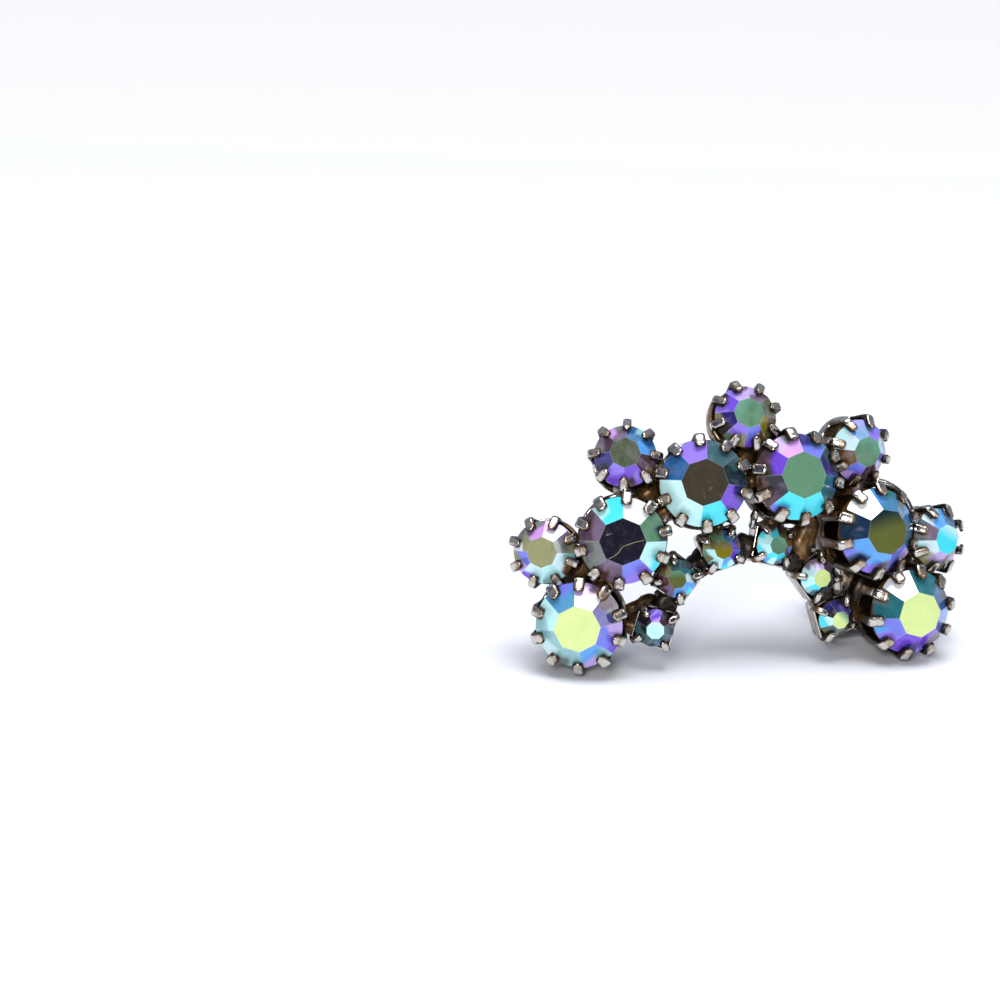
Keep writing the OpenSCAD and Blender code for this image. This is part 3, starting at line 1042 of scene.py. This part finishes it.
def split(tree, output):
    """A place or direction as its three parts."""
    parts = tree.nodes.new("ShaderNodeSeparateXYZ")
    give(parts.inputs[0], tree.nodes.new("ShaderNodeTexCoord").outputs[output])
    return parts.outputs


def stone_material():
    """Coated glass: the facets' colours, clouded, specked, paler at the facets' borders, dark with dirt
    and painted shade round the prongs and near the girdle.
    """
    material, tree, shader = new_material("coated_glass")
    cloud, speck, border_tone, dirt_and_shade = map(linear, GLASS_COLOURS.values())
    colour = tree.nodes.new("ShaderNodeVertexColor")
    colour.layer_name = "facet"

    clouds = spread(object_noise(tree, GLASS_NOISE["clouds"], 3), 0.35, 0.7)
    tone = mix(times(clouds, 0.14), colour.outputs["Color"], cloud, "MULTIPLY")
    specks = spread(object_noise(tree, GLASS_NOISE["specks"], 2, 0.8), 0.68, 0.74)
    tone = mix(times(specks, 0.35), tone, speck)
    # paler along the facets' borders
    border = spread(attribute(tree, "border"), 0.0, 0.045, 1, 0)
    tone = mix(times(border, 0.16), tone, border_tone)
    # dirt and painted shade round the prongs and along the girdle, with a ragged edge
    ragged = times(object_noise(tree, GLASS_NOISE["dirt_and_shade"], 3), 0.12)
    near = spread(plus(attribute(tree, "prong"), ragged), 0.1, 0.2, 1, 0)
    tone = mix(times(near, 0.85), tone, dirt_and_shade)
    rough = spread(object_noise(tree, GLASS_NOISE["gloss"]), 0.45, 0.75, 0.12, 0.3)
    give_all(shader, {"Base Color": tone, "Roughness": rough, **GLASS_VALUES})
    return material


def metal_material():
    """Old plated metal by its rub: silver for wear and painted highlights, then bronze-brown, then
    near-black for dirt and painted shade.
    """
    material, tree, shader = new_material("antique_plate")
    silver, bronze, dirt_and_shade = map(linear, METAL_COLOURS.values())
    patches = object_noise(tree, METAL_NOISE["patches"], 5, 0.6)
    fine = object_noise(tree, METAL_NOISE["fine"], 3, 0.6)
    rub = plus(attribute(tree, "rub"), swing(patches, 1.1))
    rub = plus(rub, swing(fine, 0.5))

    tone = mix(spread(rub, 0.12, 0.55), bronze, silver)
    tone = mix(spread(rub, -0.2, 0.2, 0.95, 0), tone, dirt_and_shade)
    metallic = spread(rub, -0.1, 0.6, 0.5, 1)
    rough = spread(rub, 0.1, 0.8, 0.36, 0.13)
    give_all(shader, {"Base Color": tone, "Metallic": metallic, "Roughness": rough})

    bump = tree.nodes.new("ShaderNodeBump")
    give_all(bump, {"Height": object_noise(tree, METAL_NOISE["bumps"], 4, 0.6), **METAL_BUMPS})
    give(shader.inputs["Normal"], bump.outputs["Normal"])
    return material


# The earring

def dress(piece, stands_for):
    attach(piece, "root")
    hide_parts(stands_for)


def add_settings(kind, size, rows, charts, glass, metal):
    """Stone and cup of each setting of a kind, with the collars that the kind has."""
    for i, (row, chart) in enumerate(zip(rows, charts)):
        number = i + 1
        stone = add_stone(f"{kind}_chaton_{number}", size, row, chart, glass)
        dress(stone, f"{kind}_stone_{number}")
        if hasattr(size, "prongs"):
            cup = add_round_cup(f"{kind}_cup_{number}", size, row, metal, FIRST_SEED + i)
        else:
            cup = add_square_cup(f"{kind}_cup_{number}", size, row, metal)
        dress(cup, "setting_frame")
        for collar in COLLARS:
            if (collar.kind, collar.number) == (kind, number):
                piece = add_collar(f"{kind}_collar_{number}", size, row, collar, metal)
                dress(piece, "setting_frame")


def lump(values, first_row, first_size, second_row, second_size):
    """A lump of solder on the way from one setting to another."""
    start = behind(first_row, first_size, values.first_depth)
    end = behind(second_row, second_size, values.second_depth)
    return start.lerp(end, values.begin), start.lerp(end, values.end), values.radius, values.rub


def plug(left, right, outer):
    """The thick lump where two large cups and the outer one over them meet."""
    middle = behind(left, LARGE, PLUG.large_depth) + behind(right, LARGE, PLUG.large_depth)
    middle = (middle + behind(outer, OUTER, PLUG.outer_depth)) / 3
    return middle, middle + Vector((0, PLUG.length, 0)), PLUG.radius, PLUG.rub


def strip(values):
    start = behind(LARGE_ROWS[values.large - 1], LARGE, STRIP_DEPTHS.large, values.from_aside)
    end = behind(INNER_ROWS[values.inner - 1], INNER, STRIP_DEPTHS.inner, values.to_aside)
    return start, end, values.radius, values.rub


def solder_spots():
    """All the solder: between neighbours, then where it shows as a bow or a strip."""
    spots = [lump(LARGE_TO_INNER, large, LARGE, inner, INNER)
             for large, inner in zip(LARGE_ROWS, INNER_ROWS)]
    for i, outer in enumerate(OUTER_ROWS):
        left, right = LARGE_ROWS[i], LARGE_ROWS[i + 1]
        spots += [
            lump(INNER_TO_INNER, INNER_ROWS[i], INNER, INNER_ROWS[i + 1], INNER),
            lump(LARGE_TO_LARGE, left, LARGE, right, LARGE),
            lump(LARGE_TO_OUTER, left, LARGE, outer, OUTER),
            lump(LARGE_TO_OUTER, right, LARGE, outer, OUTER),
            plug(left, right, outer),
        ]
    return spots + [strip(values) for values in STRIPS]


def add_earring():
    glass = stone_material()
    metal = metal_material()
    add_settings("large", LARGE, LARGE_ROWS, LARGE_CHARTS, glass, metal)
    add_settings("outer", OUTER, OUTER_ROWS, OUTER_CHARTS, glass, metal)
    add_settings("inner", INNER, INNER_ROWS, INNER_CHARTS, glass, metal)
    dress(add_solder("solder_lumps", solder_spots(), metal), "setting_frame")
    dress(add_plate("clip_plate_and_ears", metal), "setting_frame")
    dress(add_lever("clip_lever", metal), "ear_clip")


# Studio

# Camera: heading, pitch and tip of the view, place in millimetres, lens
HEADING, PITCH, TIP = radians(11.3), radians(19.575), radians(2.09)
CAMERA_PLACE = (-50.14, -158.08, 69.725)
LENS, SENSOR = 82.44, 36

# Floor: half its width, and where along the heading its near tone gives way, in metres
FLOOR_HALF, FLOOR_FADE = 3.0, (0.187, 0.197)
FLOOR_NEAR, FLOOR_FAR = (0.955, 0.962, 0.98), (0.965, 0.955, 0.95)

# Sky: dim in front, less so behind, with a bright soft box overhead
SKY_FRONT, SKY_BEHIND, SOFT_BOX = (0.06, 0.07, 0.1), (0.32, 0.36, 0.45), (8.6, 8.6, 8.8)
BOX_UP, BOX_TIP, BOX_EDGE = 0.998, 0.06, (0.912, 0.985)

# Lamps, in metres and watts
LIT_PLACE = (0, 0, 0.01)
LAMPS = table_of(
    "name place size power colour",
    ("key", (-0.2, -0.42, 0.26), (0.14, 0.14), 1.2, (1, 0.99, 0.97)),
    ("side", (0.4, -0.25, 0.3), (0.1, 0.2), 0.35, (0.95, 0.98, 1)),
)


def add_floor():
    h = FLOOR_HALF
    mesh = bpy.data.meshes.new("studio_floor")
    mesh.from_pydata([(-h, -h, 0), (h, -h, 0), (h, h, 0), (-h, h, 0)], [], [(0, 1, 2, 3)])
    floor = add_object("studio_floor", mesh)
    material, tree, shader = new_material("pale_floor")
    place = split(tree, "Object")
    away = plus(times(place["X"], sin(HEADING)), times(place["Y"], cos(HEADING)))
    tone = mix(spread(away, *FLOOR_FADE), linear(FLOOR_NEAR), linear(FLOOR_FAR))
    give_all(shader, {"Base Color": tone, **FLOOR_VALUES})
    mesh.materials.append(material)


def add_lamp(lamp):
    light = bpy.data.lights.new(lamp.name, "AREA")
    light.shape = "RECTANGLE"
    light.size, light.size_y = lamp.size
    light.energy = lamp.power
    light.color = lamp.colour
    piece = add_object(lamp.name, light)
    piece.location = lamp.place
    piece.rotation_euler = (Vector(LIT_PLACE) - Vector(lamp.place)).to_track_quat("-Z", "Y").to_euler()


def add_world():
    world = bpy.data.worlds.new("studio")
    bpy.context.scene.world = world
    world.use_nodes = True
    tree = world.node_tree
    way = split(tree, "Generated")
    tone = mix(spread(way["Y"], -0.35, 0.5), SKY_FRONT, SKY_BEHIND)
    above = math_node("SUBTRACT", times(way["Z"], BOX_UP), times(way["Y"], BOX_TIP))
    tone = mix(spread(above, *BOX_EDGE), tone, SOFT_BOX)
    give_all(tree.nodes["Background"], {"Color": tone, "Strength": 1.0})


def add_camera():
    """The photograph's view: a long lens from the left and above, tipped a little."""
    ahead = Vector((*polar(cos(PITCH), pi / 2 - HEADING), -sin(PITCH)))
    right = Vector((cos(HEADING), -sin(HEADING), 0))
    up = right.cross(ahead)
    tipped_right = right * cos(TIP) + up * sin(TIP)
    tipped_up = up * cos(TIP) - right * sin(TIP)
    lens = bpy.data.cameras.new("camera")
    lens.sensor_width = SENSOR
    lens.lens = LENS
    lens.clip_start = 0.01
    camera = add_object("camera", lens)
    view = Matrix((tipped_right, tipped_up, -ahead)).transposed().to_4x4()
    view.translation = Vector(CAMERA_PLACE) * MM
    camera.matrix_world = view
    bpy.context.scene.camera = camera


add_earring()
add_floor()
add_world()
for lamp in LAMPS:
    add_lamp(lamp)
add_camera()
bpy.context.scene.view_settings.view_transform = "Standard"
